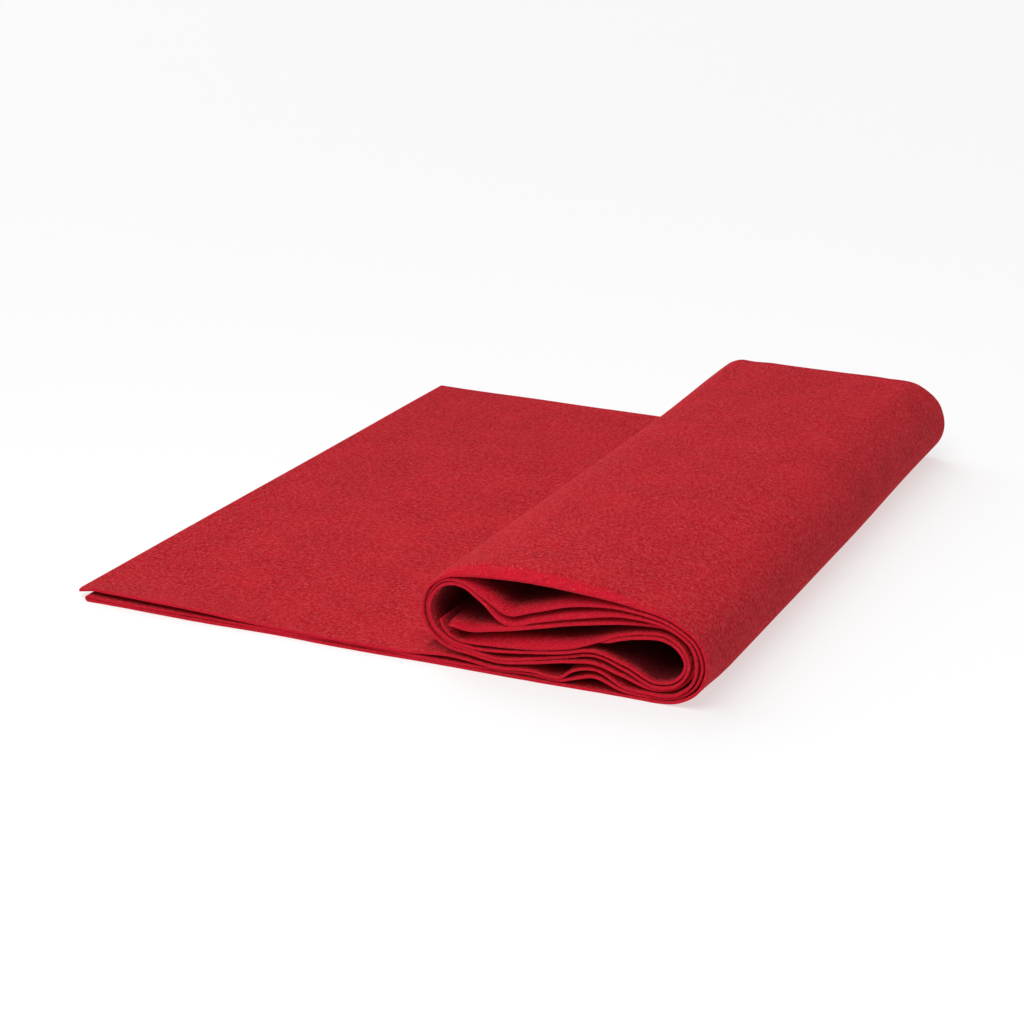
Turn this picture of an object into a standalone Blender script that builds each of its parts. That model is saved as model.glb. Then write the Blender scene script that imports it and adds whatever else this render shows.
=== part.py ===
"""A flat roll of felt with a loose flap, in metres, +Z up.

Three layers are wound together, twice round and without a core. The lower two are one sheet, doubled
over at the flap's end. The third is a single sheet laid on them. The layers run along X, and every
layer is as wide as the roll is long, along Y. At the end near -Y the layers and the hollows between
them show. The course below is the outer layer's middle line, in millimetres from the flap's end.
"""

import math
from collections import namedtuple

import bpy
import bmesh

MM = 0.001

# Driving sizes, in millimetres: the sheets' width and thickness, the least step from one layer's middle
# to the next one's, and where the top sheet's end lies.
SHEET_WIDTH = 450.0
THICKNESS = 1.2
PITCH = 1.6
TOP_SHEET_START = 1.1
FOLD_PIECES = 6

# How finely the course is read, how far the kept points may stray from it, and their longest step.
READ_STEP = 0.8
STRAY = 0.1
LONGEST_STEP = 24.0

# Distances from the near edge at which a sheet has a row of points.
STATIONS = (0.0, 2.5, 8.0, 60.0, 210.0, 330.0, SHEET_WIDTH)

# The cut edges: how far each layer stands back, how they slant under the roll, and how they waver.
NEAR_SETBACK = {"outer": -1.4, "middle": -0.7, "inner": -1.1}
FAR_SETBACK = {"outer": 0.3, "middle": 1.1, "inner": 0.7}
SLANT_FROM = 150.0
SLANT_OVER = 220.0
SLANT = 3.0
WAVER = 0.35
WAVER_LENGTH = 96.0

# The upper runs' near borders hang down over the last DROOP_OVER of the roll's length.
DROOP_OVER = 8.0
DROOP_CURVE = 2.2

# On the flap the doubled sheet's near edge stands out, and the top sheet's is lifted, full up to the
# first x and gone by the second.
STAND_OUT = 1.1
LIFT = 1.0
LIFT_OVER = 26.0
LIFT_FULL_TO = 70.0
LIFT_NONE_FROM = 150.0

# The flap's far edge runs slightly askew: it stands back more and more towards the roll.
DRAWN_SLOPE = 0.036
DRAWN_NONE_AT = 65.0
DRAWN_LEAST = -2.3
DRAWN_MOST = 4.4
DRAWN_FADES_FROM = 214.0
DRAWN_FADES_OVER = 26.0

# The roll's outer layer stands further out in the middle of its length and at its far end.
MID_OVER = 40.0
MID_FADES_FROM = 240.0
MID_FADES_OVER = 170.0
FAR_OVER = 150.0

FELT_RED = (0.49, 0.019, 0.030, 1.0)
FELT_RED_TOP = (0.52, 0.024, 0.036, 1.0)
FELT_ROUGHNESS = 0.95
SHARP_DEGREES = 35.0

# One row for each fold or section of the course. x and z place the outer layer's middle line,
# to_middle and to_inner are the steps inwards to the next two layers. far_rise lifts the outer
# layer at the far end, and mid_out and far_out move it outwards. The droops are how far the near
# borders hang down, the outer layer's and the others', and tuck is how far the outer layer's stands back.
Fold = namedtuple(
    "Fold", "place x z to_middle to_inner far_rise mid_out far_out droop_outer droop_rest tuck"
)

COURSE = (
    Fold("flap end", 9.4, 0.6, 1.75, 1.6, 0.0, 0.0, 0.0, 0.0, 0.0, 0.0),
    Fold("flap, lifted edge", 36.0, 0.6, 1.65, 1.6, 0.0, 0.0, 0.0, 0.0, 0.0, 0.0),
    Fold("flap", 90.0, 0.6, 1.6, 1.6, 0.0, 0.0, 0.0, 0.0, 0.0, 0.0),
    Fold("flap, lying down", 145.0, 0.6, 1.6, 1.6, 0.0, 0.0, 0.0, 0.0, 0.0, 0.0),
    Fold("flap at the roll", 205.0, 0.6, 1.6, 1.65, 0.0, 0.0, 0.0, 0.0, 0.0, 0.0),
    Fold("pucker under the left bend", 234.0, 0.6, 1.6, 3.8, 0.0, 0.0, 0.0, 0.0, 0.0, 0.0),
    Fold("pressed down", 257.0, 0.6, 1.6, 1.7, 0.0, 0.0, 0.0, 0.0, 0.0, 0.0),
    Fold("small hollow", 277.0, 0.6, 2.5, 2.3, 0.0, 0.0, 0.0, 0.0, 0.0, 0.0),
    Fold("ripple foot", 294.0, 0.6, 2.3, 1.7, 0.0, 0.0, 0.0, 0.0, 0.0, 0.0),
    Fold("ripple, rising", 301.0, 0.6, 4.6, 4.0, 0.0, 0.0, 0.0, 0.0, 0.0, 0.0),
    Fold("ripple", 310.0, 0.6, 7.2, 4.0, 0.0, 0.0, 0.0, 0.0, 0.0, 0.0),
    Fold("ripple end", 328.0, 0.6, 2.4, 1.9, 0.0, 0.0, 0.0, 0.0, 0.0, 0.0),
    Fold("roll's foot", 341.0, 0.6, 1.7, 1.9, 0.0, 0.0, 0.0, 0.0, 0.0, 0.0),
    Fold("right bend, rising", 357.0, 3.0, 1.8, 1.8, 0.0, 0.8, 0.0, 0.0, 0.0, 0.0),
    Fold("right bend, low", 366.7, 10.0, 2.4, 2.2, 0.0, 1.6, 0.2, 0.0, 0.0, 0.0),
    Fold("right bend, reach", 371.0, 23.0, 2.8, 2.6, 0.0, 0.4, 0.0, 0.0, 0.0, 0.0),
    Fold("right bend, high", 367.0, 35.0, 2.8, 2.3, 1.5, 0.0, 0.0, 0.0, 0.0, 0.0),
    Fold("right shoulder", 354.0, 44.0, 2.5, 2.1, 2.9, 0.0, 0.0, 0.0, 0.0, 0.0),
    Fold("top, right", 330.0, 49.6, 3.1, 3.4, -0.2, 0.0, 0.0, 1.6, 1.3, 0.0),
    Fold("top, over the hollow", 300.0, 52.5, 8.4, 6.0, -2.9, 0.0, 0.0, 4.1, 2.5, 0.0),
    Fold("crown", 277.0, 53.4, 16.1, 5.2, -3.4, 0.0, 0.0, 4.9, 2.8, 0.0),
    Fold("hollow's deepest place", 263.0, 53.1, 19.0, 5.5, -2.8, 0.0, 0.0, 5.0, 3.5, 0.0),
    Fold("hollow, left slope", 251.0, 52.4, 11.6, 3.0, -1.8, 0.0, 0.0, 4.8, 3.3, 0.0),
    Fold("hollow closes", 240.0, 51.4, 4.4, 2.0, -1.3, 0.0, 0.0, 3.8, 2.1, 0.0),
    Fold("left shoulder", 229.0, 49.0, 1.8, 2.2, -0.8, 0.0, 1.9, 2.0, 1.2, 0.0),
    Fold("left bend, high", 220.0, 41.5, 2.0, 1.8, 0.0, 0.0, 2.5, 0.3, 0.3, 0.0),
    Fold("left bend, reach", 217.0, 30.5, 2.0, 1.7, 0.0, 0.0, 0.8, 0.0, 0.0, 0.0),
    Fold("left bend, low", 220.0, 19.8, 2.3, 1.7, 0.0, 0.0, 0.0, 0.0, 0.0, 0.0),
    Fold("left bend, underside", 230.0, 11.8, 1.9, 1.7, 0.0, 0.0, 0.0, 0.0, 0.0, 0.0),
    Fold("under the roll", 244.0, 9.2, 1.6, 1.7, 0.0, 0.0, 0.0, 0.0, 0.0, 0.0),
    Fold("saddle", 258.0, 7.3, 1.7, 3.9, 0.0, 0.0, 0.0, 0.0, 0.0, 0.0),
    Fold("lower run", 277.0, 10.0, 1.7, 3.6, 0.0, 0.0, 0.0, 0.0, 0.0, 0.0),
    Fold("lower run, rising", 297.0, 14.1, 2.1, 2.6, 0.0, 0.0, 0.0, 0.0, 0.0, 0.0),
    Fold("second ripple", 311.0, 15.7, 3.5, 2.8, 0.0, 0.0, 0.0, 0.0, 0.0, 0.0),
    Fold("second ripple end", 326.0, 11.8, 3.2, 3.0, 0.0, 0.0, 0.0, 0.0, 0.0, 0.0),
    Fold("inner bend, foot", 345.0, 6.6, 1.7, 2.4, 0.0, 0.0, 0.0, 0.0, 0.0, 1.0),
    Fold("inner bend, low", 355.5, 9.2, 1.8, 2.3, 0.0, 0.0, 0.0, 0.0, 0.0, 2.6),
    Fold("inner bend, rising", 361.6, 15.8, 1.9, 2.0, 0.0, 0.0, 0.0, 0.0, 0.0, 4.0),
    Fold("inner bend, reach", 363.3, 23.0, 1.9, 1.8, 0.0, 0.0, 0.0, 0.0, 0.0, 4.6),
    Fold("inner bend, high", 359.4, 32.4, 2.2, 2.0, 0.0, 0.0, 0.0, 0.0, 0.0, 4.6),
    Fold("inner shoulder", 349.6, 38.6, 2.8, 2.0, 0.0, 0.0, 0.0, 0.0, 0.0, 4.0),
    Fold("inner run", 336.0, 39.6, 4.4, 1.9, 0.0, 0.0, 0.0, 0.8, 0.0, 2.6),
    Fold("inner run, falling", 324.5, 38.8, 6.3, 1.8, 0.0, 0.0, 0.0, 1.4, 0.4, 1.2),
    Fold("inner layer's end", 306.0, 35.6, 10.6, 1.7, 0.0, 0.0, 0.0, 2.1, 2.0, 0.0),
    Fold("core run", 298.0, 34.0, 12.2, 1.7, 0.0, 0.0, 0.0, 2.3, 3.2, 0.0),
    Fold("core run, middle", 284.0, 30.5, 11.9, 1.7, 0.0, 0.0, 0.0, 2.4, 4.4, 0.0),
    Fold("core run, lower", 256.0, 24.3, 8.8, 1.7, 0.0, 0.0, 0.0, 2.4, 4.2, 0.0),
    Fold("core run, turning up", 243.5, 22.2, 7.3, 1.7, 0.0, 0.0, 0.0, 2.0, 2.6, 0.0),
    Fold("outer layer's end", 232.0, 23.6, 8.5, 1.7, 0.0, 0.0, 0.0, 1.6, 1.0, 0.0),
)
INNER_LAYER_STOP = "inner layer's end"
MIDDLE_LAYER_STOP = "core run, turning up"

# Past its stop the middle layer's end turns up inside the left bend: x and z of its own folds.
Curl = namedtuple("Curl", "place x z")
MIDDLE_CURL = (
    Curl("lifting", 237.0, 15.4),
    Curl("turning", 231.8, 17.6),
    Curl("standing", 228.5, 21.0),
    Curl("tip", 226.8, 25.6),
)


def clear_scene():
    for item in list(bpy.data.objects):
        bpy.data.objects.remove(item, do_unlink=True)


def smooth_line(points):
    """Reads a smooth curve through points of any length; their first two values are x and z."""
    gaps = [math.dist(a[:2], b[:2]) for a, b in zip(points, points[1:])]
    slopes = []
    for i, point in enumerate(points):
        if i == 0:
            slope = [(b - a) / gaps[0] for a, b in zip(point, points[1])]
        elif i == len(points) - 1:
            slope = [(b - a) / gaps[-1] for a, b in zip(points[i - 1], point)]
        else:
            before, after = gaps[i - 1], gaps[i]
            slope = [
                ((c - b) / after * before + (b - a) / before * after) / (before + after)
                for a, b, c in zip(points[i - 1], point, points[i + 1])
            ]
        slopes.append(slope)
    line = []
    for i, gap in enumerate(gaps):
        steps = max(1, round(gap / READ_STEP))
        for k in range(steps):
            t = k / steps
            weights = (
                2 * t**3 - 3 * t**2 + 1,
                (t**3 - 2 * t**2 + t) * gap,
                3 * t**2 - 2 * t**3,
                (t**3 - t**2) * gap,
            )
            ends = zip(points[i], slopes[i], points[i + 1], slopes[i + 1])
            line.append([sum(w * v for w, v in zip(weights, values)) for values in ends])
    line.append(list(points[-1]))
    return line


def directions(line):
    """The unit direction of a line at each of its points."""
    result = []
    for i in range(len(line)):
        before = line[max(0, i - 1)]
        after = line[min(len(line) - 1, i + 1)]
        dx, dz = after[0] - before[0], after[1] - before[1]
        length = math.hypot(dx, dz)
        result.append((dx / length, dz / length))
    return result


def step_inwards(line, steps, droops):
    """A line beside another, on its left hand, which is the roll's inside."""
    return [
        [point[0] - dz * step, point[1] + dx * step, 0.0, 0.0, 0.0, droop, 0.0]
        for point, (dx, dz), step, droop in zip(line, directions(line), steps, droops)
    ]


def distance_off(point, start, end):
    """How far a point lies from the straight line between two others."""
    dx, dz = end[0] - start[0], end[1] - start[1]
    return abs(dx * (point[1] - start[1]) - dz * (point[0] - start[0])) / math.hypot(dx, dz)


def thin_out(line):
    """Keeps the points that the line's bends need, and some on its straight runs."""
    if len(line) < 3:
        return line
    start, end = line[0], line[-1]
    strays = [distance_off(point, start, end) for point in line[1:-1]]
    split = strays.index(max(strays)) + 1
    if max(strays) < STRAY:
        if math.dist(start[:2], end[:2]) < LONGEST_STEP:
            return [start, end]
        split = len(line) // 2
    return thin_out(line[:split + 1])[:-1] + thin_out(line[split:])


def course_lines():
    """The outer, middle and inner layers' middle lines: x, z, rise, mid, far, droop, tuck."""
    course = smooth_line([fold[1:] for fold in COURSE])
    floor = THICKNESS / 2
    droops = [row[8] for row in course]
    outer = [[row[0], max(row[1], floor)] + row[4:8] + [row[9]] for row in course]
    middle = step_inwards(outer, [max(row[2], PITCH) for row in course], droops)
    inner = step_inwards(middle, [max(row[3], PITCH) for row in course], droops)
    return outer, middle, inner


def sample_of(place):
    """The index of a named fold's point in the smooth course."""
    index = 0
    for a, b in zip(COURSE, COURSE[1:]):
        if a.place == place:
            return index
        index += max(1, round(math.dist((a.x, a.z), (b.x, b.z)) / READ_STEP))
    return index


def fold_arc(lower, upper):
    """The half turn that joins two layers at the flap's end, from the upper one to the lower one."""
    radius = (upper[1] - lower[1]) / 2
    middle = (upper[1] + lower[1]) / 2
    arc = []
    for k in range(1, FOLD_PIECES):
        angle = math.pi * k / FOLD_PIECES
        place = [lower[0] - radius * math.sin(angle), middle + radius * math.cos(angle)]
        arc.append(place + [0.0] * 5)
    return arc


def doubled_sheet_line():
    outer, middle, _ = course_lines()
    stop = sample_of(MIDDLE_LAYER_STOP)
    last = [list(point) for point in middle[stop - 2:stop + 1:2]]
    curl = smooth_line(last + [[row.x, row.z] + [0.0] * 5 for row in MIDDLE_CURL])
    upper = thin_out(middle[:stop - 2] + curl)
    lower = thin_out(outer)
    layers = ["middle"] * len(upper)
    arc = fold_arc(lower[0], upper[0])
    line = upper[::-1] + arc + lower
    layers += ["middle"] * len(arc) + ["outer"] * len(lower)
    return line, layers


def top_sheet_line():
    _, _, inner = course_lines()
    inner = inner[:sample_of(INNER_LAYER_STOP) + 1]
    start = [[TOP_SHEET_START] + inner[0][1:]]
    line = thin_out(start + inner)
    return line, ["inner"] * len(line)


def ease(t):
    t = min(1.0, max(0.0, t))
    return t * t * (3 - 2 * t)


def droop_left(distance):
    """The share of a border's droop that is already made up at a distance in from the near edge."""
    share = min(1.0, distance / DROOP_OVER)
    return 1.0 - (1.0 - share) ** DROOP_CURVE


def drawn_in(x, z):
    """How far the flap's far edge stands back more than its middle does, up to where the roll hides it."""
    if z > 8.0:
        return 0.0
    drawn = min(DRAWN_MOST, max(DRAWN_LEAST, DRAWN_SLOPE * (x - DRAWN_NONE_AT)))
    return drawn * (1 - ease((x - DRAWN_FADES_FROM) / DRAWN_FADES_OVER))


def flap_edge_share(x, z):
    """Where the flap's near edges lie apart: at its end, fading out before the roll."""
    return ease((LIFT_NONE_FROM - x) / (LIFT_NONE_FROM - LIFT_FULL_TO)) if z < 8.0 else 0.0


def run_lengths(line):
    """How far along the sheet each of its line's points lies."""
    runs = [0.0]
    for a, b in zip(line, line[1:]):
        runs.append(runs[-1] + math.dist(a[:2], b[:2]))
    return runs


def swept_line(line, layers, distance):
    """A sheet's middle line at a distance from its near edge, as x, z and y."""
    far_share = distance / SHEET_WIDTH
    near_share = 1.0 - far_share
    mid_share = ease(distance / MID_OVER) * (1 - ease((distance - MID_FADES_FROM) / MID_FADES_OVER))
    end_share = ease((distance - SHEET_WIDTH + FAR_OVER) / FAR_OVER)
    swept = []
    rows = zip(line, directions(line), run_lengths(line), layers)
    for (x, z, rise, mid, far, droop, tuck), (dx, dz), run, layer in rows:
        wave = WAVER * math.sin(2 * math.pi * run / WAVER_LENGTH)
        y = distance + SLANT * ease((x - SLANT_FROM) / SLANT_OVER) * near_share
        y += (NEAR_SETBACK[layer] + tuck) * near_share
        y -= (FAR_SETBACK[layer] + drawn_in(x, z)) * far_share
        y += wave * (near_share - far_share)
        out = mid * mid_share + far * end_share
        at_x, at_z = x + dz * out, z - dx * out
        at_z += rise * far_share + droop * droop_left(distance) * near_share
        apart = flap_edge_share(x, z)
        if layer == "inner":
            at_z += LIFT * apart * (1 - ease(distance / LIFT_OVER))
        else:
            y -= STAND_OUT * apart * near_share
        swept.append((at_x, max(at_z, THICKNESS / 2), y))
    return swept


def sheet_object(name, line, layers, colour):
    """A sheet whose section is the thickened line, drawn along Y from the near edge to the far one."""
    mesh = bmesh.new()
    rows = []
    for station in STATIONS:
        swept = swept_line(line, layers, station)
        heads = directions(swept)
        sides = []
        for side in (1, -1):
            row = []
            for (x, z, y), (dx, dz) in zip(swept, heads):
                off = side * THICKNESS / 2
                row.append(mesh.verts.new(((x - dz * off) * MM, y * MM, (z + dx * off) * MM)))
            sides.append(row)
        rows.append(sides)
    count = len(line)
    for (left, right), (next_left, next_right) in zip(rows, rows[1:]):
        for i in range(count - 1):
            mesh.faces.new((left[i], left[i + 1], next_left[i + 1], next_left[i]))
            mesh.faces.new((right[i + 1], right[i], next_right[i], next_right[i + 1]))
        mesh.faces.new((right[0], left[0], next_left[0], next_right[0]))
        mesh.faces.new((left[-1], right[-1], next_right[-1], next_left[-1]))
    for left, right in (rows[0], rows[-1]):
        for i in range(count - 1):
            mesh.faces.new((left[i], left[i + 1], right[i + 1], right[i]))
    bmesh.ops.recalc_face_normals(mesh, faces=mesh.faces)
    data = bpy.data.meshes.new(name)
    mesh.to_mesh(data)
    mesh.free()
    data.shade_smooth()
    data.set_sharp_from_angle(angle=math.radians(SHARP_DEGREES))
    sheet = bpy.data.objects.new(name, data)
    bpy.context.collection.objects.link(sheet)
    data.materials.append(felt_material(name + "_felt", colour))
    return sheet


def felt_material(name, colour):
    material = bpy.data.materials.new(name)
    material.use_nodes = True
    shader = material.node_tree.nodes["Principled BSDF"]
    shader.inputs["Base Color"].default_value = colour
    shader.inputs["Roughness"].default_value = FELT_ROUGHNESS
    shader.inputs["Metallic"].default_value = 0.0
    material.diffuse_color = colour
    return material


def centre_on_floor(sheets):
    """Puts the origin under the middle of all the sheets' box."""
    corners = [vertex.co for sheet in sheets for vertex in sheet.data.vertices]
    middle = [(min(c[i] for c in corners) + max(c[i] for c in corners)) / 2 for i in (0, 1)]
    for sheet in sheets:
        sheet.location = (-middle[0], -middle[1], 0.0)


def main():
    clear_scene()
    doubled = sheet_object("doubled_sheet", *doubled_sheet_line(), FELT_RED)
    top = sheet_object("top_sheet", *top_sheet_line(), FELT_RED_TOP)
    centre_on_floor((doubled, top))


main()
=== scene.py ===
"""The looks of the roll of felt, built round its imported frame, in metres.

The two felt sheets follow the same folds as the frame's solids, with the finer form that those leave
out: rounded and slightly wavering cut edges, slow waves in the flap, an uneven surface, and the felt's
fibres in the material. Fold places and sizes are in millimetres from the flap's end and the near edge,
as in the frame's source.
"""

import math
from collections import namedtuple

import bpy
import numpy as np
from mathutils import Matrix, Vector, noise


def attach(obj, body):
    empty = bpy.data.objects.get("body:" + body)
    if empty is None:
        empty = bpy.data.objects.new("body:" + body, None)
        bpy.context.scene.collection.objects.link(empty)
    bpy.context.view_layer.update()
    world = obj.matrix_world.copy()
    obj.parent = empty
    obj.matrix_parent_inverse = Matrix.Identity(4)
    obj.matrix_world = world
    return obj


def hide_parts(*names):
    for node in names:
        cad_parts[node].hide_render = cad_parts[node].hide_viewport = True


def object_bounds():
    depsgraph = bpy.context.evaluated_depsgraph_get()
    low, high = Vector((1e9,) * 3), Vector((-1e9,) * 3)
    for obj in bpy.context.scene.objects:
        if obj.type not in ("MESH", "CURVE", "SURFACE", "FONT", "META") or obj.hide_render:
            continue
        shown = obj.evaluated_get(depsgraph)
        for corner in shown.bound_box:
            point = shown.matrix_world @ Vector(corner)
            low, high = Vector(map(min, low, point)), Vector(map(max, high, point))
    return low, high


MM = 0.001

# The sheets, in millimetres: width, thickness, the least step from one layer's middle to the next one's,
# and where the top sheet's end lies.
SHEET_WIDTH = 450.0
THICKNESS = 1.54
PITCH = 1.6
TOP_SHEET_START = 1.1

# Where the frame's solids begin along X and end along Y, from which the middle of their box is known.
FRAME_LEFT_EDGE = 1.1
FRAME_FAR_EDGE = 451.69

# How densely a sheet's mesh follows its line: the step at which it is read, by how far the kept points
# may stray from it, and their longest step. The fold at the flap's end has its own number of pieces.
READ_STEP = 0.5
STRAY = 0.016
LONGEST_STEP = 5.0
FOLD_PIECES = 14

# Distances in from the sheet's sides at which it has rows of points, past those of its cut edge, and the
# step of the rows between.
SIDE_ROWS = (1.4, 2.4, 3.6, 5.0, 6.6, 8.4, 11.0, 15.0)
STATION_STEP = 14.0

# A cut edge: how far in from it each row of points lies, and its share of the half thickness there.
EDGE_ROWS = ((0.0, 0.78), (0.10, 0.92), (0.28, 0.98), (0.7, 1.0))

# The cut edges: how far each layer stands back, how they slant across the roll, and how they waver. The
# shell is the outer layer's first turn, which shows all round.
NEAR_SETBACK = {"shell": -1.4, "outer": -1.4, "middle": -0.7, "inner": -1.1}
FAR_SETBACK = {"shell": 0.3, "outer": 0.3, "middle": 1.1, "inner": 0.7}
SLANT_FROM = 150.0
SLANT_OVER = 220.0
SLANT = 3.0
WAVER = 0.35
WAVER_LENGTH = 96.0
FINE_WAVER = 0.16
FINE_WAVER_LENGTH = 7.0

# The upper runs' near borders hang down over the last DROOP_OVER of the roll's length.
DROOP_OVER = 8.0
DROOP_CURVE = 2.2
BORDER_DROOP = 2.5
# The hanging border gets the cut edges' painted highlight, full up to BORDER_FULL_TO from the edge and
# fading over BORDER_FADES_OVER.
BORDER_FULL_TO = 3.2
BORDER_FADES_OVER = 1.6

# The flap's layers lie below FLAP_TOP, and its end is hidden in the roll from INSIDE_FROM.
FLAP_TOP = 8.0
INSIDE_FROM = 216.0

# Inside the roll the felt is darkened with painted shade from a little way in, at either end. The hollow
# of the inner bend, which the top sheet's last LOOP_LENGTH lines, gets darker painted shade, which starts
# sooner.
SHADE_FROM = 3.0
SHADE_OVER = 12.0
LOOP_LENGTH = 115.0
LOOP_SHADE = 1.2
LOOP_SHADE_FROM = 0.8
LOOP_SHADE_OVER = 5.0

# On the flap the doubled sheet's near edge stands out, and the top sheet's is lifted, full up to the
# first x and gone by the second. The top sheet's near corner lies down, and over CORNER from the edge and
# CORNER_RUN from the end it is set back a little both ways.
STAND_OUT = 1.1
LIFT = 2.6
LIFT_OVER = 26.0
LIFT_FULL_TO = 60.0
LIFT_NONE_FROM = 135.0
CORNER = 6.0
CORNER_RUN = 18.0
CORNER_CUT = 0.8
CORNER_BACK = 2.5
TIP_OVER = 14.0

# The top sheet's inner end: its near corner stands back, up to this far out from the end and the border.
END_BACK = 7.0
END_OVER = 14.0
END_BORDER = 30.0

# The flap's far edge runs slightly askew: it stands back more and more towards the roll.
DRAWN_SLOPE = 0.036
DRAWN_NONE_AT = 65.0
DRAWN_LEAST = -2.3
DRAWN_MOST = 4.4
DRAWN_FADES_FROM = 214.0
DRAWN_FADES_OVER = 26.0

# Over MID_OVER from the near edge the roll's outer layer comes to stand further out, up to where that
# fades. Over the last FAR_OVER it does so again, by its own measure.
MID_OVER = 40.0
MID_FADES_FROM = 240.0
MID_FADES_OVER = 170.0
FAR_OVER = 150.0

# Slow waves and the uneven surface, as height and wavelength, and the seeds that tell the sheets apart.
FLAP_WAVE = 0.30
FLAP_WAVE_LENGTH = 95.0
FLAP_WAVE_GONE_AT = 195.0
FLAP_WAVE_FADES_OVER = 60.0
UNEVEN = 0.05
UNEVEN_LENGTH = 17.0
DOUBLED_SEED = 3.7
TOP_SEED = 8.3

# The camera, fitted to the flap's edges: its direction round the part in degrees, its place, and its lens
# as a focal length in pixels of a picture of the given side.
CAMERA_AZIMUTH = 24.88
CAMERA_ELEVATION = 19.24
CAMERA_PLACE = (711.4, -957.9, 458.0)
PHOTO_SIDE = 1024
FOCAL_PIXELS = 2259.8
SENSOR = 36.0

# Lights from far off: the direction they come from, turned from straight behind the part to the left and
# raised, how wide they are, all in degrees, and their strength. Then one close over the near end.
FarLight = namedtuple("FarLight", "name azimuth elevation width strength")
FAR_LIGHTS = (
    FarLight("front", 174.0, 62.0, 60.0, 0.98),
    FarLight("back", 62.0, 38.0, 60.0, 1.42),
)
NEAR_LIGHT_PLACE = (0.10, -0.60, 0.90)
NEAR_LIGHT_WATTS = 2.6
NEAR_LIGHT_SIZE = 0.7
BACKDROP_STRENGTH = 0.23
WHITE = (1.0, 1.0, 1.0, 1.0)

# The floor: its side and how far below the part it lies, in metres, and how it takes light.
FLOOR_SIZE = 40.0
FLOOR_DROP = 0.0001
FLOOR_GREY = (0.42, 0.42, 0.42, 1.0)
FLOOR_SURFACE = {
    "Base Color": FLOOR_GREY,
    "Emission Color": WHITE,
    "Emission Strength": 0.595,
    "Roughness": 0.8,
    "Specular IOR Level": 0.2,
}

# One row for each fold or section of the course. x and z place the outer layer's middle line at the
# near edge, and to_middle and to_inner are the steps inwards to the next two layers. far_rise lifts the
# outer layer at the far end, and mid_out and far_out move it outwards. The droops are how far the near
# borders hang down, the outer layer's and the others', and tuck is how far the outer layer's stands back.
Fold = namedtuple(
    "Fold", "place x z to_middle to_inner far_rise mid_out far_out droop_outer droop_rest tuck"
)

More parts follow.
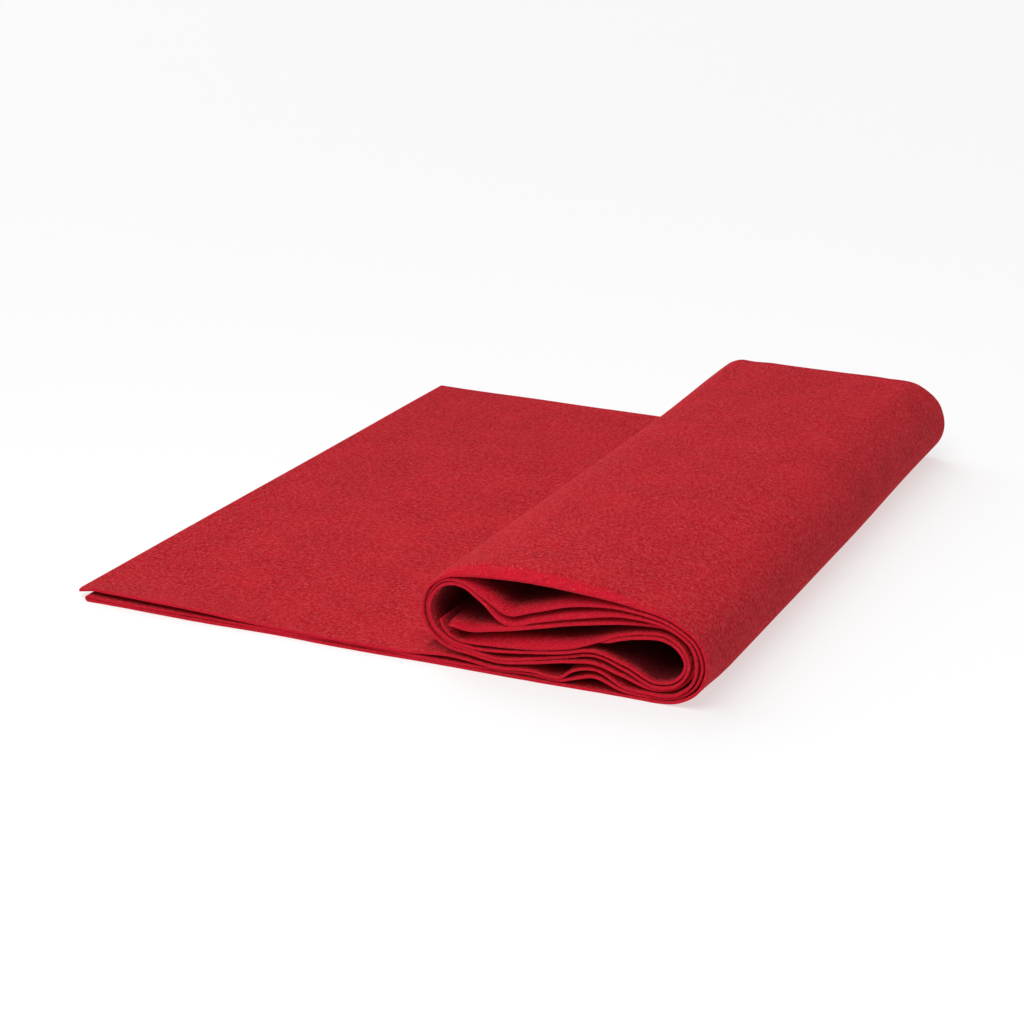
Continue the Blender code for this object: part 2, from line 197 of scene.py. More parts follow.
COURSE = (
    Fold("flap end", 9.4, 0.6, 1.75, 1.6, 0.0, 0.0, 0.0, 0.0, 0.0, 0.0),
    Fold("flap, lifted edge", 36.0, 0.6, 1.65, 1.6, 0.0, 0.0, 0.0, 0.0, 0.0, 0.0),
    Fold("flap", 90.0, 0.6, 1.6, 1.6, 0.0, 0.0, 0.0, 0.0, 0.0, 0.0),
    Fold("flap, lying down", 145.0, 0.6, 1.6, 1.6, 0.0, 0.0, 0.0, 0.0, 0.0, 0.0),
    Fold("flap at the roll", 205.0, 0.6, 1.6, 1.65, 0.0, 0.0, 0.0, 0.0, 0.0, 0.0),
    Fold("pucker under the left bend", 234.0, 0.6, 1.6, 3.8, 0.0, 0.0, 0.0, 0.0, 0.0, 0.0),
    Fold("pressed down", 257.0, 0.6, 1.6, 1.7, 0.0, 0.0, 0.0, 0.0, 0.0, 0.0),
    Fold("small hollow", 277.0, 0.6, 2.5, 2.3, 0.0, 0.0, 0.0, 0.0, 0.0, 0.0),
    Fold("ripple foot", 294.0, 0.6, 2.3, 1.7, 0.0, 0.0, 0.0, 0.0, 0.0, 0.0),
    Fold("ripple, rising", 301.0, 0.6, 4.6, 4.0, 0.0, 0.0, 0.0, 0.0, 0.0, 0.0),
    Fold("ripple", 310.0, 0.6, 7.2, 4.0, 0.0, 0.0, 0.0, 0.0, 0.0, 0.0),
    Fold("ripple end", 328.0, 0.6, 2.4, 1.9, 0.0, 0.0, 0.0, 0.0, 0.0, 0.0),
    Fold("roll's foot", 341.0, 0.6, 1.7, 1.9, 0.0, 0.0, 0.0, 0.0, 0.0, 0.0),
    Fold("right bend, rising", 357.0, 3.0, 1.8, 1.8, 0.0, 0.8, 0.0, 0.0, 0.0, 0.0),
    Fold("right bend, low", 366.7, 10.0, 2.4, 2.2, 0.0, 1.6, 0.2, 0.0, 0.0, 0.0),
    Fold("right bend, reach", 371.0, 23.0, 2.8, 2.6, 0.0, 0.4, 0.0, 0.0, 0.0, 0.0),
    Fold("right bend, high", 367.0, 35.0, 2.8, 2.3, 1.5, 0.0, 0.0, 0.0, 0.0, 0.0),
    Fold("right shoulder", 354.0, 44.0, 2.5, 2.1, 2.9, 0.0, 0.0, 0.0, 0.0, 0.0),
    Fold("top, right", 330.0, 49.6, 3.1, 3.4, -0.2, 0.0, 0.0, 1.6, 1.3, 0.0),
    Fold("top, over the hollow", 300.0, 52.5, 8.4, 6.0, -2.9, 0.0, 0.0, 4.1, 2.5, 0.0),
    Fold("crown", 277.0, 53.4, 16.1, 5.2, -3.4, 0.0, 0.0, 4.9, 2.8, 0.0),
    Fold("hollow's deepest place", 263.0, 53.1, 19.0, 5.5, -2.8, 0.0, 0.0, 5.0, 3.5, 0.0),
    Fold("hollow, left slope", 251.0, 52.4, 11.6, 3.0, -1.8, 0.0, 0.0, 4.8, 3.3, 0.0),
    Fold("hollow closes", 240.0, 51.4, 4.4, 2.0, -1.3, 0.0, 0.0, 3.8, 2.1, 0.0),
    Fold("left shoulder", 229.0, 49.0, 1.8, 2.2, -0.8, 0.0, 1.9, 2.0, 1.2, 0.0),
    Fold("left bend, high", 220.0, 41.5, 2.0, 1.8, 0.0, 0.0, 2.5, 0.3, 0.3, 0.0),
    Fold("left bend, reach", 217.0, 30.5, 2.0, 1.7, 0.0, 0.0, 0.8, 0.0, 0.0, 0.0),
    Fold("left bend, low", 220.0, 19.8, 2.3, 1.7, 0.0, 0.0, 0.0, 0.0, 0.0, 0.0),
    Fold("left bend, underside", 230.0, 11.8, 1.9, 1.7, 0.0, 0.0, 0.0, 0.0, 0.0, 0.0),
    Fold("under the roll", 244.0, 9.2, 1.6, 1.7, 0.0, 0.0, 0.0, 0.0, 0.0, 0.0),
    Fold("saddle", 258.0, 7.3, 1.7, 3.9, 0.0, 0.0, 0.0, 0.0, 0.0, 0.0),
    Fold("lower run", 277.0, 10.0, 1.7, 3.6, 0.0, 0.0, 0.0, 0.0, 0.0, 0.0),
    Fold("lower run, rising", 297.0, 14.1, 2.1, 2.6, 0.0, 0.0, 0.0, 0.0, 0.0, 0.0),
    Fold("second ripple", 311.0, 15.7, 3.5, 2.8, 0.0, 0.0, 0.0, 0.0, 0.0, 0.0),
    Fold("second ripple end", 326.0, 11.8, 3.2, 3.0, 0.0, 0.0, 0.0, 0.0, 0.0, 0.0),
    Fold("inner bend, foot", 345.0, 6.6, 1.7, 2.4, 0.0, 0.0, 0.0, 0.0, 0.0, 1.0),
    Fold("inner bend, low", 355.5, 9.2, 1.8, 2.3, 0.0, 0.0, 0.0, 0.0, 0.0, 2.6),
    Fold("inner bend, rising", 361.6, 15.8, 1.9, 2.0, 0.0, 0.0, 0.0, 0.0, 0.0, 4.0),
    Fold("inner bend, reach", 363.3, 23.0, 1.9, 1.8, 0.0, 0.0, 0.0, 0.0, 0.0, 4.6),
    Fold("inner bend, high", 359.4, 32.4, 2.2, 2.0, 0.0, 0.0, 0.0, 0.0, 0.0, 4.6),
    Fold("inner shoulder", 349.6, 38.6, 2.8, 2.0, 0.0, 0.0, 0.0, 0.0, 0.0, 4.0),
    Fold("inner run", 336.0, 39.6, 4.4, 1.9, 0.0, 0.0, 0.0, 0.8, 0.0, 2.6),
    Fold("inner run, falling", 324.5, 38.8, 6.3, 1.8, 0.0, 0.0, 0.0, 1.4, 0.4, 1.2),
    Fold("inner layer's end", 306.0, 35.6, 10.6, 1.7, 0.0, 0.0, 0.0, 2.1, 2.0, 0.0),
    Fold("core run", 298.0, 34.0, 12.2, 1.7, 0.0, 0.0, 0.0, 2.3, 3.2, 0.0),
    Fold("core run, middle", 284.0, 30.5, 11.9, 1.7, 0.0, 0.0, 0.0, 2.4, 4.4, 0.0),
    Fold("core run, lower", 256.0, 24.3, 8.8, 1.7, 0.0, 0.0, 0.0, 2.4, 4.2, 0.0),
    Fold("core run, turning up", 243.5, 22.2, 7.3, 1.7, 0.0, 0.0, 0.0, 2.0, 2.6, 0.0),
    Fold("outer layer's end", 232.0, 23.6, 8.5, 1.7, 0.0, 0.0, 0.0, 1.6, 1.0, 0.0),
)
INNER_LAYER_STOP = "inner layer's end"
MIDDLE_LAYER_STOP = "core run, turning up"
SHELL_END = "left bend, low"

# A line's points are lists of x, z, rise, mid, far, droop and tuck. These are the last five of a point
# that has none of them.
PLAIN = [0.0] * 5

# Past its stop the middle layer's end turns up inside the left bend: x and z of its own folds. Its smooth
# line starts a few read points before the stop.
CURL_LEAD = 2
Curl = namedtuple("Curl", "place x z")
MIDDLE_CURL = (
    Curl("lifting", 237.0, 15.4),
    Curl("turning", 231.8, 17.6),
    Curl("standing", 228.5, 21.0),
    Curl("tip", 226.8, 25.6),
)


def smooth_line(points):
    """Reads a smooth curve through points of any length; their first two values are x and z."""
    gaps = [math.dist(a[:2], b[:2]) for a, b in zip(points, points[1:])]
    slopes = []
    for i, point in enumerate(points):
        if i == 0:
            slope = [(b - a) / gaps[0] for a, b in zip(point, points[1])]
        elif i == len(points) - 1:
            slope = [(b - a) / gaps[-1] for a, b in zip(points[i - 1], point)]
        else:
            before, after = gaps[i - 1], gaps[i]
            slope = [
                ((c - b) / after * before + (b - a) / before * after) / (before + after)
                for a, b, c in zip(points[i - 1], point, points[i + 1])
            ]
        slopes.append(slope)
    line = []
    for i, gap in enumerate(gaps):
        steps = max(1, round(gap / READ_STEP))
        for k in range(steps):
            t = k / steps
            weights = (
                2 * t**3 - 3 * t**2 + 1,
                (t**3 - 2 * t**2 + t) * gap,
                3 * t**2 - 2 * t**3,
                (t**3 - t**2) * gap,
            )
            ends = zip(points[i], slopes[i], points[i + 1], slopes[i + 1])
            line.append([sum(w * v for w, v in zip(weights, values)) for values in ends])
    line.append(list(points[-1]))
    return line


def directions(line):
    """The unit direction of a line at each of its points."""
    result = []
    for i in range(len(line)):
        before = line[max(0, i - 1)]
        after = line[min(len(line) - 1, i + 1)]
        dx, dz = after[0] - before[0], after[1] - before[1]
        length = math.hypot(dx, dz)
        result.append((dx / length, dz / length))
    return result


def step_inwards(line, steps, droops):
    """A line beside another, on its left hand, which is the roll's inside."""
    return [
        [point[0] - dz * step, point[1] + dx * step, 0.0, 0.0, 0.0, droop, 0.0]
        for point, (dx, dz), step, droop in zip(line, directions(line), steps, droops)
    ]


def distance_off(point, start, end):
    """How far a point lies from the straight line between two others."""
    dx, dz = end[0] - start[0], end[1] - start[1]
    return abs(dx * (point[1] - start[1]) - dz * (point[0] - start[0])) / math.hypot(dx, dz)


def thin_out(line):
    """Keeps the points that the line's bends need, and some on its straight runs."""
    if len(line) < 3:
        return line
    start, end = line[0], line[-1]
    strays = [distance_off(point, start, end) for point in line[1:-1]]
    split = strays.index(max(strays)) + 1
    if max(strays) < STRAY:
        if math.dist(start[:2], end[:2]) < LONGEST_STEP:
            return [start, end]
        split = len(line) // 2
    return thin_out(line[:split + 1])[:-1] + thin_out(line[split:])


def course_lines():
    """The outer, middle and inner layers' middle lines."""
    course = [Fold("between folds", *row) for row in smooth_line([fold[1:] for fold in COURSE])]
    lowest = THICKNESS / 2
    droops = [row.droop_rest for row in course]
    outer = [
        [row.x, max(row.z, lowest), row.far_rise, row.mid_out, row.far_out, row.droop_outer, row.tuck]
        for row in course
    ]
    middle = step_inwards(outer, [max(row.to_middle, PITCH) for row in course], droops)
    inner = step_inwards(middle, [max(row.to_inner, PITCH) for row in course], droops)
    return outer, middle, inner


def sample_of(place):
    """The index of a named fold's point in the smooth course."""
    index = 0
    for a, b in zip(COURSE, COURSE[1:]):
        if a.place == place:
            return index
        index += max(1, round(math.dist((a.x, a.z), (b.x, b.z)) / READ_STEP))
    return index


def fold_arc(lower, upper):
    """The half turn that joins two layers at the flap's end, from the upper one to the lower one."""
    radius = (upper[1] - lower[1]) / 2
    middle = (upper[1] + lower[1]) / 2
    arc = []
    for k in range(1, FOLD_PIECES):
        angle = math.pi * k / FOLD_PIECES
        place = [lower[0] - radius * math.sin(angle), middle + radius * math.cos(angle)]
        arc.append(place + PLAIN)
    return arc


def doubled_sheet_line():
    """The doubled sheet's middle line, from the middle layer's inner end to the outer layer's."""
    outer, middle, _ = course_lines()
    stop = sample_of(MIDDLE_LAYER_STOP)
    curl_start = stop - CURL_LEAD
    lead = [middle[curl_start], middle[stop]]
    curl = smooth_line(lead + [[row.x, row.z] + PLAIN for row in MIDDLE_CURL])
    upper = thin_out(middle[:curl_start] + curl)
    lower = thin_out(outer)
    arc = fold_arc(lower[0], upper[0])
    shell = outer[:sample_of(SHELL_END)]
    layers = ["middle"] * (len(upper) + len(arc))
    layers += ["shell" if point in shell else "outer" for point in lower]
    return upper[::-1] + arc + lower, layers


def top_sheet_line():
    """The top sheet's middle line, from the flap's end to its inner end."""
    _, _, inner = course_lines()
    inner = inner[:sample_of(INNER_LAYER_STOP) + 1]
    start = [[TOP_SHEET_START] + inner[0][1:]]
    line = thin_out(start + inner)
    return line, ["inner"] * len(line)


def ease(t):
    """Rises smoothly from 0 to 1 as t does."""
    t = min(1.0, max(0.0, t))
    return t * t * (3 - 2 * t)


def wavy(x, y, length, seed):
    """A smooth random value from about -1 to 1 that changes over the given length."""
    return noise.noise(Vector((x / length, y / length, seed)))


def with_edge_rows(line, layers):
    """Adds the close rows of points that round the line's two cut ends."""
    insets = [inset for inset, _ in EDGE_ROWS]
    for _ in ("first end", "last end"):
        first, second = line[0], line[1]
        length = math.dist(first[:2], second[:2])
        rows = [[a + (b - a) * inset / length for a, b in zip(first, second)] for inset in insets]
        line = (rows + line[1:])[::-1]
        layers = (layers[:1] * len(rows) + layers[1:])[::-1]
    return line, layers


def share_at(distance):
    """The half thickness's share at a distance in from a cut edge."""
    return float(np.interp(distance, [row[0] for row in EDGE_ROWS], [row[1] for row in EDGE_ROWS]))


def stations(width):
    """Distances from the near edge at which the sheet has a row of points."""
    insets = [inset for inset, _ in EDGE_ROWS]
    near = insets + list(SIDE_ROWS)
    middle = np.arange(near[-1] + STATION_STEP, width - near[-1] - STATION_STEP / 2, STATION_STEP)
    return np.array(near + list(middle) + [width - value for value in near[::-1]])


def droop_made_up(distance):
    """The share of a border's droop that is already made up at a distance in from the near edge."""
    share = min(1.0, distance / DROOP_OVER)
    return 1.0 - (1.0 - share) ** DROOP_CURVE


def border_share(droop, distance):
    """How much of a hanging border a place is, as its share of painted highlight: all of it at the edge,
    none past where it turns level.
    """
    return ease(droop / BORDER_DROOP) * (1.0 - ease((distance - BORDER_FULL_TO) / BORDER_FADES_OVER))


def shade_share(x, z, layer, side, from_side, to_end):
    """How deep inside the roll's end a place is, where the layers shade it, as its share of painted
    shade: none on the outside.
    """
    if (x < INSIDE_FROM and z < FLAP_TOP) or (layer == "shell" and side < 0):
        return 0.0
    if layer == "inner" and side > 0 and to_end < LOOP_LENGTH:
        return LOOP_SHADE * ease((from_side - LOOP_SHADE_FROM) / LOOP_SHADE_OVER)
    return ease((from_side - SHADE_FROM) / SHADE_OVER)


def flap_share(x, z, layer):
    """Where the top sheet is free to wave: on the flap, fading out before the roll."""
    if layer != "inner" or z > FLAP_TOP:
        return 0.0
    return ease((FLAP_WAVE_GONE_AT - x) / FLAP_WAVE_FADES_OVER)


def drawn_in(x, z):
    """How much further back the flap's far edge stands there, up to where the roll hides it."""
    if z > FLAP_TOP:
        return 0.0
    drawn = min(DRAWN_MOST, max(DRAWN_LEAST, DRAWN_SLOPE * (x - DRAWN_NONE_AT)))
    return drawn * (1 - ease((x - DRAWN_FADES_FROM) / DRAWN_FADES_OVER))


def flap_edge_share(x, z):
    """Where the flap's near edges lie apart: at its end, fading out before the roll."""
    if z > FLAP_TOP:
        return 0.0
    return ease((LIFT_NONE_FROM - x) / (LIFT_NONE_FROM - LIFT_FULL_TO))


def swept_line(line, runs, layers, distance, seed):
    """A layer's middle line at a distance from its near edge, as x, z and y."""
    far_share = distance / SHEET_WIDTH
    near_share = 1.0 - far_share
    mid_share = ease(distance / MID_OVER) * (1 - ease((distance - MID_FADES_FROM) / MID_FADES_OVER))
    end_share = ease((distance - SHEET_WIDTH + FAR_OVER) / FAR_OVER)
    swept = []
    heads = directions(line)
    for (x, z, rise, mid, far, droop, tuck), (dx, dz), run, layer in zip(line, heads, runs, layers):
        wave = WAVER * math.sin(2 * math.pi * run / WAVER_LENGTH)
        fine = FINE_WAVER * wavy(run, seed, FINE_WAVER_LENGTH, seed)
        y = distance + fine + SLANT * ease((x - SLANT_FROM) / SLANT_OVER) * near_share
        y += (NEAR_SETBACK[layer] + tuck) * near_share
        y -= (FAR_SETBACK[layer] + drawn_in(x, z)) * far_share
        y += wave * (near_share - far_share)
        out = mid * mid_share + far * end_share
        at_x, at_z = x + dz * out, z - dx * out
        at_z += rise * far_share + droop * droop_made_up(distance) * near_share
        apart = flap_edge_share(x, z)
        if layer == "inner":
            at_z += LIFT * apart * (1 - ease(distance / LIFT_OVER)) * ease(run / TIP_OVER)
            at_z += FLAP_WAVE * flap_share(x, z, layer) * wavy(x, y, FLAP_WAVE_LENGTH, seed)
            near_corner = max(0.0, 1 - distance / CORNER) * max(0.0, 1 - run / CORNER_RUN)
            at_x += CORNER_CUT * near_corner
            y += CORNER_BACK * near_corner
            to_end = runs[-1] - run
            y += END_BACK * ease(1 - to_end / END_OVER) * ease(1 - distance / END_BORDER)
        else:
            y -= STAND_OUT * apart * near_share
        swept.append((at_x, max(at_z, THICKNESS / 2), y))
    return swept


def felt_mesh(name, line, layers, seed):
    """A closed mesh of the sheet, with its place in the flat cloth and the shares that its felt reads."""
    line, layers = with_edge_rows(line, layers)
    count = len(line)
    runs = [0.0]
    for a, b in zip(line, line[1:]):
        runs.append(runs[-1] + math.dist(a[:2], b[:2]))
    total = runs[-1]
    droops = [droop for *_, droop, _ in line]
    across = stations(SHEET_WIDTH)
    points, places, cuts, borders, shades = [], [], [], [], []
    for distance in across:
        middle = swept_line(line, runs, layers, distance, seed)
        heads = directions([(x, z) for x, z, _ in middle])
        from_side = min(distance, SHEET_WIDTH - distance)
        for side in (1, -1):
            rows = zip(middle, heads, runs, droops, layers)
            for (x, z, y), (dx, dz), run, droop, layer in rows:
                inset = min(from_side, run, total - run)
                share = share_at(inset)
                half = THICKNESS / 2 * share
                height = half + UNEVEN * share * wavy(run, y, UNEVEN_LENGTH, seed + side)
                px = x - dz * side * height
                pz = max(z + dx * side * height, 0.0)
                points.append((px, y, pz))
                places.append((run, y, side * half))
                # cut_edge and border mask the painted highlight on the cut edges and hanging borders.
                cuts.append(1.0 - min(1.0, inset / EDGE_ROWS[-1][0]))
                borders.append(border_share(droop, distance))
                # shade is the share of painted shade inside the roll's ends.
                shades.append(shade_share(x, z, layer, side, from_side, total - run))
    faces = sheet_faces(count, len(across))
    shares = {"cut_edge": cuts, "border": borders, "shade": shades}
    return mesh_object(name, points, faces, places, shares)


def sheet_faces(count, rows):
    """The faces of a sheet whose rows of points each hold its left side and then its right side."""
    def at(row, side, i):
        return (row * 2 + side) * count + i

    faces = []
    for row in range(rows - 1):
        for i in range(count - 1):
            faces.append((at(row, 0, i), at(row, 0, i + 1), at(row + 1, 0, i + 1), at(row + 1, 0, i)))
            faces.append((at(row, 1, i + 1), at(row, 1, i), at(row + 1, 1, i), at(row + 1, 1, i + 1)))
        faces.append((at(row, 1, 0), at(row, 0, 0), at(row + 1, 0, 0), at(row + 1, 1, 0)))
        last = count - 1
        faces.append((at(row, 0, last), at(row, 1, last), at(row + 1, 1, last), at(row + 1, 0, last)))
    for i in range(count - 1):
        faces.append((at(0, 1, i), at(0, 1, i + 1), at(0, 0, i + 1), at(0, 0, i)))
        end = rows - 1
        faces.append((at(end, 0, i), at(end, 0, i + 1), at(end, 1, i + 1), at(end, 1, i)))
    return faces


def mesh_object(name, points, faces, places, shares):
    """Makes an object of points in millimetres, each with its place in the cloth and its shares."""
    data = bpy.data.meshes.new(name)
    moved = np.array(points) * MM + np.array(ORIGIN_SHIFT)
    data.from_pydata(moved.tolist(), [], faces)
    data.validate()
    place = data.attributes.new("cloth_place", "FLOAT_VECTOR", "POINT")
    place.data.foreach_set("vector", (np.array(places, dtype=np.float32) * MM).ravel())
    for attribute, values in shares.items():
        kept = data.attributes.new(attribute, "FLOAT", "POINT")
        kept.data.foreach_set("value", np.array(values, dtype=np.float32))
    data.shade_smooth()
    item = bpy.data.objects.new(name, data)
    bpy.context.scene.collection.objects.link(item)
    return item


# The sockets that a mix node uses when it mixes colours: the share and both colours, and the result.
COLOUR_MIX_INPUTS = (0, 6, 7)
COLOUR_MIX_OUTPUT = 2


class Shader:
    """Short names for making and joining a material's nodes."""

    def __init__(self, name):
        self.material = bpy.data.materials.new(name)
        self.material.use_nodes = True
        self.tree = self.material.node_tree
        self.surface = self.tree.nodes["Principled BSDF"]

    def node(self, kind, **settings):
        made = self.tree.nodes.new(kind)
        for key, value in settings.items():
            setattr(made, key, value)
        return made

    def join(self, source, target):
        self.tree.links.new(source, target)

    def finish_surface(self, values):
        """Sets the surface's own sockets."""
        for key, value in values.items():
            self.surface.inputs[key].default_value = value

    def attribute(self, name, output="Fac"):
        return self.node("ShaderNodeAttribute", attribute_name=name).outputs[output]

    def math(self, operation, a, b):
        made = self.node("ShaderNodeMath", operation=operation)
        for socket, value in zip(made.inputs, (a, b)):
            if isinstance(value, (int, float)):
                socket.default_value = value
            else:
                self.join(value, socket)
        return made.outputs[0]

    def turned(self, vector, degrees, scale):
        """The cloth's place, turned in its plane and then scaled along each axis."""
        turn = self.node("ShaderNodeVectorRotate", rotation_type="Z_AXIS")
        turn.inputs["Angle"].default_value = math.radians(degrees)
        self.join(vector, turn.inputs["Vector"])
        made = self.node("ShaderNodeVectorMath", operation="MULTIPLY")
        made.inputs[1].default_value = scale
        self.join(turn.outputs[0], made.inputs[0])
        return made.outputs[0]

    def noise(self, vector, scale=1.0, detail=2.0, roughness=0.5, distortion=0.0):
        made = self.node("ShaderNodeTexNoise")
        made.inputs["Scale"].default_value = scale
        made.inputs["Detail"].default_value = detail
        made.inputs["Roughness"].default_value = roughness
        made.inputs["Distortion"].default_value = distortion
        self.join(vector, made.inputs["Vector"])
        return made.outputs["Fac"]

    def between(self, value, low, high, to_low=0.0, to_high=1.0):
        """Rises smoothly as the value goes from low to high."""
        made = self.node("ShaderNodeMapRange", interpolation_type="SMOOTHSTEP")
        keys = ("From Min", "From Max", "To Min", "To Max")
        for key, number in zip(keys, (low, high, to_low, to_high)):
            made.inputs[key].default_value = number
        self.join(value, made.inputs["Value"])
        return made.outputs["Result"]

    def blend(self, share, first, second):
        """From the first colour to the second by the share."""
        made = self.node("ShaderNodeMix", data_type="RGBA")
        for index, value in zip(COLOUR_MIX_INPUTS, (share, first, second)):
            if isinstance(value, tuple):
                made.inputs[index].default_value = value
            else:
                self.join(value, made.inputs[index])
        return made.outputs[COLOUR_MIX_OUTPUT]


# Felt colours as linear red, green, blue.
FELT_DEEP = (0.260, 0.0016, 0.0050, 1.0)
FELT_MAIN = (0.560, 0.0060, 0.0150, 1.0)
FELT_PALE = (0.680, 0.0120, 0.0230, 1.0)
FIBRE_LIGHT = (0.900, 0.0800, 0.1020, 1.0)
# The colour of the painted highlight on the cut edges and hanging borders.
CUT_PAINTED_HIGHLIGHT = (0.800, 0.0140, 0.0400, 1.0)
# The colour of the painted shade inside the roll's ends.
SHADE_DARK = (0.040, 0.0010, 0.0020, 1.0)
SHEEN_TINT = (1.0, 0.50, 0.54, 1.0)

# How the felt takes light.
FELT_SURFACE = {
    "Roughness": 0.8,
    "Specular IOR Level": 0.015,
    "Sheen Weight": 0.13,
    "Sheen Roughness": 0.30,
    "Sheen Tint": SHEEN_TINT,
}

# The felt's mottling, from the finest: how many spots to a metre, their detail and roughness, and the
# values from and up to which they turn paler. Then the most that each may cover.
Mottle = namedtuple("Mottle", "scale detail roughness low high")
GRAIN = Mottle(1700.0, 3.0, 0.65, 0.32, 0.62)
TUFTS = Mottle(560.0, 2.0, 0.60, 0.42, 0.66)
CLUMPS = Mottle(230.0, 3.0, 0.55, 0.40, 0.66)
CLOUDS = Mottle(28.0, 3.0, 0.50, 0.35, 0.70)
TUFTS_MOST = 0.50
CLUMPS_MOST = 0.28
DOUBLED_CLOUDS_MOST = 0.40
TOP_CLOUDS_MOST = 0.46

# The cut edges and hanging borders get a painted highlight, speckled with the grain, and the hollows get
# painted shade.
BORDER_MOST = 0.9
SPECKLE_LOW = 0.36
SPECKLE_HIGH = 0.60
SPECKLE_LEAST = 0.35
SHADE_MOST = 0.62

# The fine relief: the share of each part in its height, and how it is applied.
FIBRE_HEIGHT = 0.55
GRAIN_HEIGHT = 0.8
TUFT_HEIGHT = 1.2
BUMP_STRENGTH = 0.8
BUMP_DISTANCE = 0.0006

# Fibre layers in the felt's plane: their direction, and how many lie to a metre along and across.
Fibres = namedtuple("Fibres", "degrees along across")
FIBRE_LAYERS = (
    Fibres(12.0, 340.0, 1500.0),
    Fibres(74.0, 420.0, 2500.0),
    Fibres(133.0, 360.0, 1400.0),
    Fibres(164.0, 400.0, 2400.0),
)
FIBRE_BENDS = 0.35
FIBRE_LOW = 0.59
FIBRE_HIGH = 0.69
FIBRES_MOST = 0.73


def matted_fibres(make, place):
    """Where a fibre of any of the layers lies on top."""
    matted = None
    for layer in FIBRE_LAYERS:
        vector = make.turned(place, layer.degrees, (layer.along, layer.across, layer.across))
        strand = make.noise(vector, detail=1.0, distortion=FIBRE_BENDS)
        strand = make.between(strand, FIBRE_LOW, FIBRE_HIGH)
        matted = strand if matted is None else make.math("MAXIMUM", matted, strand)
    return matted


def felt_material(name, clouds_most):
    """Red felt: matted fibres in several directions, clumps, slow clouds and a soft sheen."""
    make = Shader(name)
    place = make.attribute("cloth_place", "Vector")
    matted = matted_fibres(make, place)
    grain = make.noise(place, GRAIN.scale, GRAIN.detail, GRAIN.roughness)
    tufts = make.noise(place, TUFTS.scale, TUFTS.detail, TUFTS.roughness)
    clumps = make.noise(place, CLUMPS.scale, CLUMPS.detail, CLUMPS.roughness)
    clouds = make.noise(place, CLOUDS.scale, CLOUDS.detail, CLOUDS.roughness)

    body = make.blend(make.between(grain, GRAIN.low, GRAIN.high), FELT_DEEP, FELT_MAIN)
    for value, mottle, most in (
        (tufts, TUFTS, TUFTS_MOST),
        (clumps, CLUMPS, CLUMPS_MOST),
        (clouds, CLOUDS, clouds_most),
    ):
        pale = make.math("MULTIPLY", make.between(value, mottle.low, mottle.high), most)
        body = make.blend(pale, body, FELT_PALE)
    body = make.blend(make.math("MULTIPLY", matted, FIBRES_MOST), body, FIBRE_LIGHT)

    # Painted highlight: the cut edges and hanging borders are lightened, speckled with the grain.
    border = make.math("MULTIPLY", make.attribute("border"), BORDER_MOST)
    front = make.math("MAXIMUM", make.attribute("cut_edge"), border)
    speckle = make.between(grain, SPECKLE_LOW, SPECKLE_HIGH, to_low=SPECKLE_LEAST)
    body = make.blend(make.math("MULTIPLY", front, speckle), body, CUT_PAINTED_HIGHLIGHT)
    # Painted shade: the felt inside the roll's ends is darkened, most in the inner bend's hollow.
    shade = make.math("MULTIPLY", make.attribute("shade"), SHADE_MOST)
    body = make.blend(shade, body, SHADE_DARK)
    make.join(body, make.surface.inputs["Base Color"])

    height = None
    for value, weight in ((matted, FIBRE_HEIGHT), (grain, GRAIN_HEIGHT), (tufts, TUFT_HEIGHT)):
        part = make.math("MULTIPLY", value, weight)
        height = part if height is None else make.math("ADD", height, part)
    bump = make.node("ShaderNodeBump")
    bump.inputs["Strength"].default_value = BUMP_STRENGTH
    bump.inputs["Distance"].default_value = BUMP_DISTANCE
    make.join(height, bump.inputs["Height"])
    make.join(bump.outputs["Normal"], make.surface.inputs["Normal"])
    make.finish_surface(FELT_SURFACE)
    return make.material


def make_camera():
    """The camera at the photograph's place, in the same measure as the folds."""
    data = bpy.data.cameras.new("camera")
    data.sensor_width = SENSOR
    data.lens = FOCAL_PIXELS / PHOTO_SIDE * SENSOR
    camera = bpy.data.objects.new("camera", data)
    bpy.context.scene.collection.objects.link(camera)
    azimuth = math.radians(CAMERA_AZIMUTH)
    elevation = math.radians(CAMERA_ELEVATION)
    back = Vector((
        math.sin(azimuth) * math.cos(elevation),
        -math.cos(azimuth) * math.cos(elevation),
        math.sin(elevation),
    ))
    camera.location = Vector(CAMERA_PLACE) * MM + Vector(ORIGIN_SHIFT)
    camera.rotation_mode = "QUATERNION"
    camera.rotation_quaternion = (-back).to_track_quat("-Z", "Y")
    bpy.context.scene.camera = camera


def add_light(name, data, place):
    """Adds a light at a place, turned towards the middle of the part."""
    light = bpy.data.objects.new(name, data)
    light.location = place
    light.rotation_mode = "QUATERNION"
    light.rotation_quaternion = Vector(place).to_track_quat("Z", "Y")
    bpy.context.scene.collection.objects.link(light)


def add_far_light(row):
    """A wide, even light."""
    data = bpy.data.lights.new(row.name, "SUN")
    data.energy = row.strength
    data.angle = math.radians(row.width)
    turn, rise = math.radians(row.azimuth), math.radians(row.elevation)
    level = math.cos(rise)
    add_light(row.name, data, (-math.sin(turn) * level, math.cos(turn) * level, math.sin(rise)))


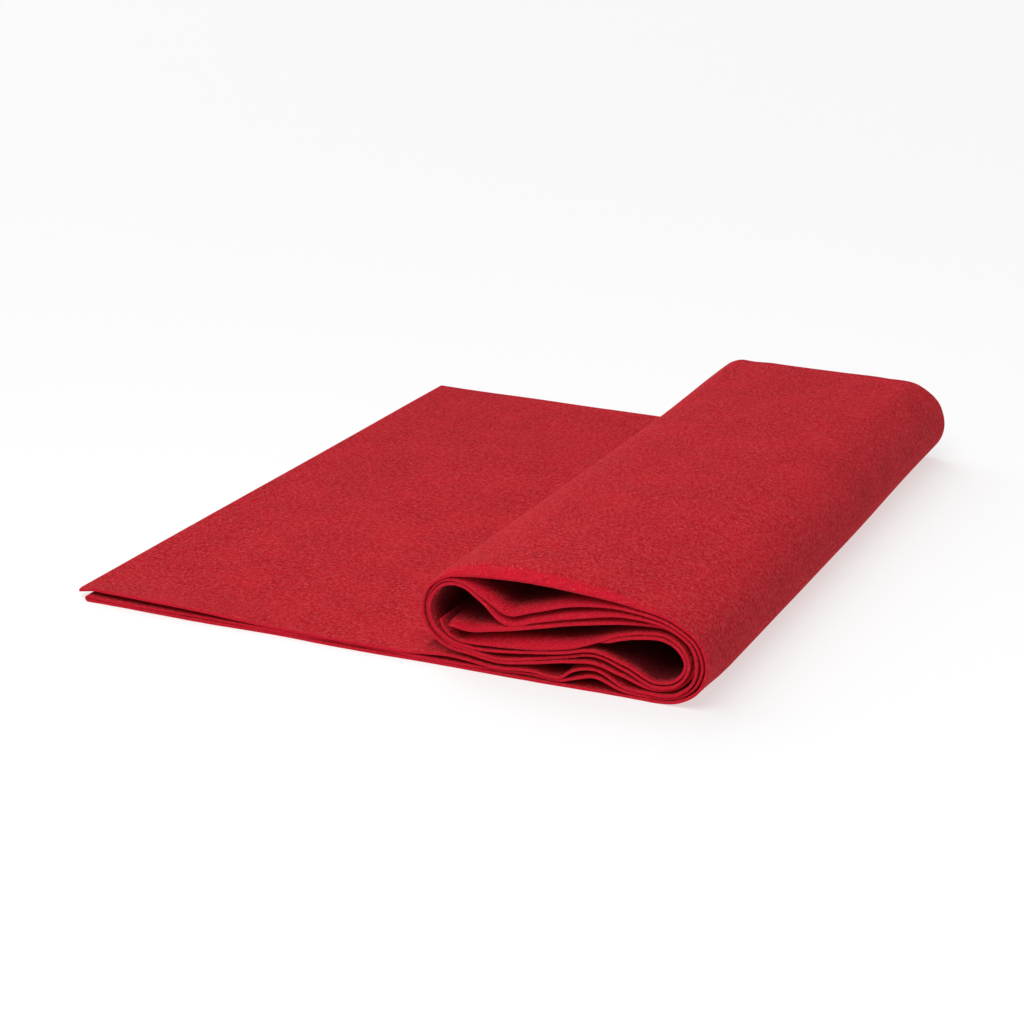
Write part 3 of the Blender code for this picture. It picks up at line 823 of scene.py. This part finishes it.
def add_near_light():
    """A soft light close over the near end, so that the felt is a little darker towards the far end."""
    data = bpy.data.lights.new("near", "AREA")
    data.energy = NEAR_LIGHT_WATTS
    data.shape = "DISK"
    data.size = NEAR_LIGHT_SIZE
    add_light("near", data, NEAR_LIGHT_PLACE)


def make_studio():
    """A pale floor and backdrop, with soft lights."""
    scene = bpy.context.scene
    scene.view_settings.view_transform = "Standard"
    world = bpy.data.worlds.new("studio")
    world.use_nodes = True
    backdrop = world.node_tree.nodes["Background"]
    backdrop.inputs["Color"].default_value = WHITE
    backdrop.inputs["Strength"].default_value = BACKDROP_STRENGTH
    scene.world = world
    for row in FAR_LIGHTS:
        add_far_light(row)
    add_near_light()
    bpy.ops.mesh.primitive_plane_add(size=FLOOR_SIZE, location=(0.0, 0.0, -FLOOR_DROP))
    floor = bpy.context.active_object
    floor.name = "floor"
    shader = Shader("floor_paper")
    shader.finish_surface(FLOOR_SURFACE)
    floor.data.materials.append(shader.material)


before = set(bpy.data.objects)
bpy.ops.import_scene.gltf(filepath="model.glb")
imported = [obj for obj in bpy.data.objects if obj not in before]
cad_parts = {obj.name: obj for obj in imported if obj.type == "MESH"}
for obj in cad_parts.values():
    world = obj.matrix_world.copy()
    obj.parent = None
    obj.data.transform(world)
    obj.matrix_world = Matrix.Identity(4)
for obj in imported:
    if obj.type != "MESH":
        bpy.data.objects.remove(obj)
cad_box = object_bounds()
ORIGIN_SHIFT = (cad_box[0].x - FRAME_LEFT_EDGE * MM, cad_box[1].y - FRAME_FAR_EDGE * MM, 0.0)

make_camera()
make_studio()

doubled_line, doubled_layers = doubled_sheet_line()
doubled = felt_mesh("felt_doubled_sheet", doubled_line, doubled_layers, DOUBLED_SEED)
doubled.data.materials.append(felt_material("felt_doubled", DOUBLED_CLOUDS_MOST))
top_line, top_layers = top_sheet_line()
top = felt_mesh("felt_top_sheet", top_line, top_layers, TOP_SEED)
top.data.materials.append(felt_material("felt_top", TOP_CLOUDS_MOST))

for piece, node, line, held, under in (
    (doubled, "doubled_sheet", doubled_line, "folded", ()),
    (top, "top_sheet", top_line, "laid", (doubled,)),
):
    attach(piece, "root")
    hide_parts(node)
